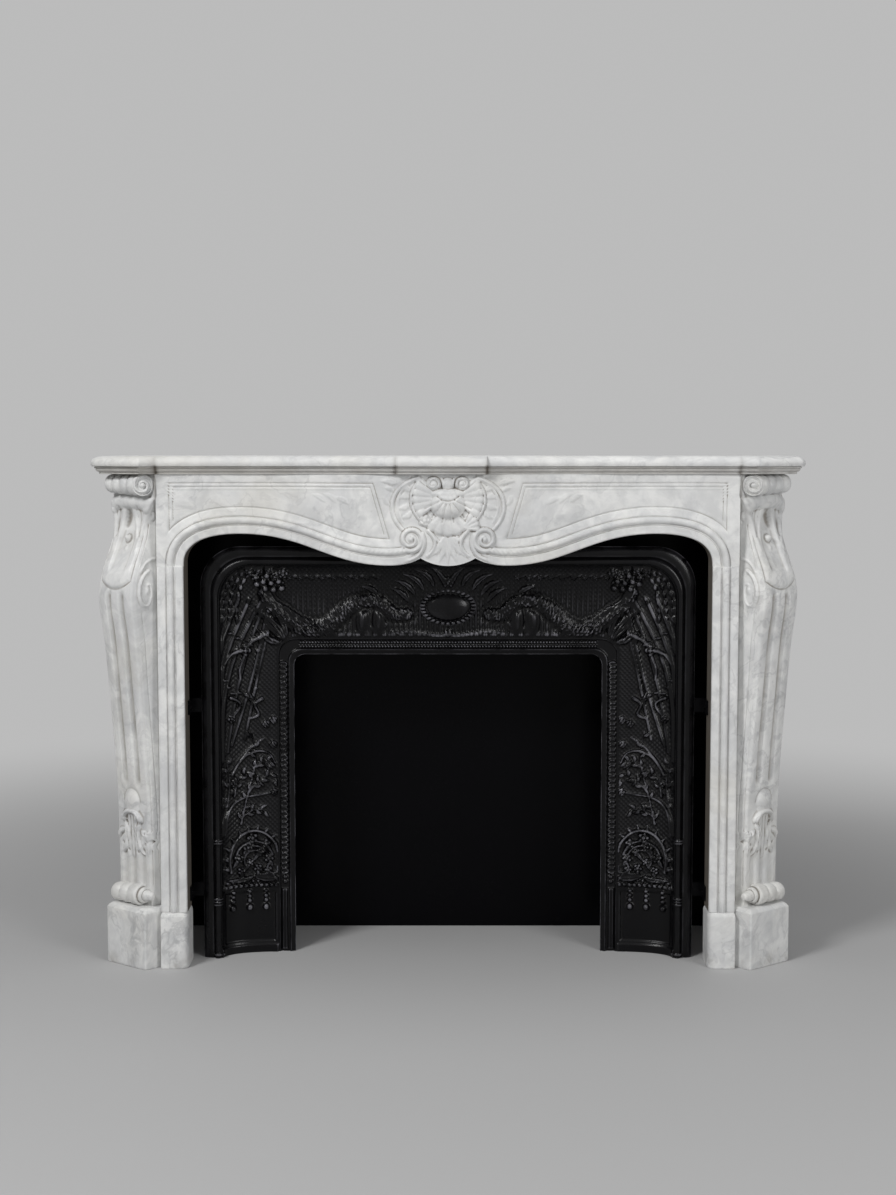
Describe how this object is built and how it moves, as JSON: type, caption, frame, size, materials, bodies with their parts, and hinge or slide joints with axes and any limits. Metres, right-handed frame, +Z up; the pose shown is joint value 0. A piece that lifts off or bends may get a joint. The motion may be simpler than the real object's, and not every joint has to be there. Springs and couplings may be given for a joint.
{
  "type": "marble fireplace",
  "caption": "White marble fireplace surround with a serpentine carved frieze, canted scrolled consoles, a moulded shelf and a black coved cast-iron insert round the fire opening.",
  "frame": {"origin": "middle of the overall box at floor level", "axes": "+X to the right as seen from the room, +Y from the room to the wall, +Z up"},
  "size_m": [1.5, 0.39, 1.088],
  "materials": {
    "marble": "satin polished, white with soft grey clouds and veins",
    "insert_iron": "blackened, low sheen",
    "back_sheet": "matt black",
    "fixing_iron": "dark forged iron"
  },
  "bodies": {
    "root": {"shelf": "marble", "frieze": "marble", "left_console": "marble", "right_console": "marble", "left_console_plinth": "marble", "right_console_plinth": "marble", "left_slip": "marble", "right_slip": "marble", "left_slip_plinth": "marble", "right_slip_plinth": "marble", "left_side_return": "marble", "right_side_return": "marble", "left_insert_panel": "insert_iron", "right_insert_panel": "insert_iron", "insert_top_panel": "insert_iron", "back_plate": "back_sheet", "left_corner_plate": "fixing_iron", "right_corner_plate": "fixing_iron", "insert_lugs": "fixing_iron", "insert_nuts": "fixing_iron", "lug_screws": "fixing_iron", "back_brackets": "fixing_iron", "bracket_screws": "fixing_iron", "console_dowels": "fixing_iron", "slip_dowels": "fixing_iron", "frieze_dowels": "fixing_iron", "shelf_dowels": "fixing_iron", "frieze_cramps": "fixing_iron", "wall_ties": "fixing_iron"}
  },
  "joints": []
}
